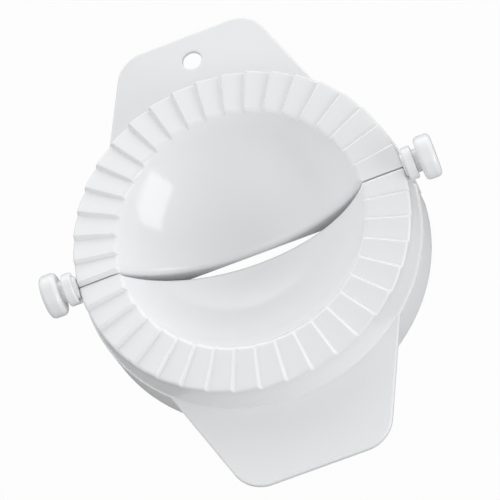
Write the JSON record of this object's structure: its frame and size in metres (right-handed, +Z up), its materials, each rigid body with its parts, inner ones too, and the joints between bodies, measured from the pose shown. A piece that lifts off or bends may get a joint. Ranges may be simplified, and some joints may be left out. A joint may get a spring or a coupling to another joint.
{
  "type": "empanada press",
  "caption": "Hinged plastic press for filled dough pockets: two half bowls with a toothed crimping ring, skirts, end eyelets on headed pins and flat grip tabs.",
  "frame": {"origin": "on the table under the middle of the hinge line, with the press opened flat", "axes": "X along the hinge line, +Y from the hinge towards the grip tab with the hanging hole, +Z up out of the bowl"},
  "size_m": [0.12, 0.1456, 0.0315],
  "materials": {
    "moulding": "smooth glossy white moulding",
    "pin": "smooth glossy white moulding"
  },
  "bodies": {
    "rear": {"rear_half": "moulding", "left_pin": "pin", "right_pin": "pin"},
    "front": {"front_half": "moulding"}
  },
  "joints": [
    {"name": "hinge", "type": "hinge", "parent": "rear", "child": "front", "pos_m": [0, 0, 0.025], "axis": [-1, 0, 0], "range_deg": [-7, 180]}
  ]
}
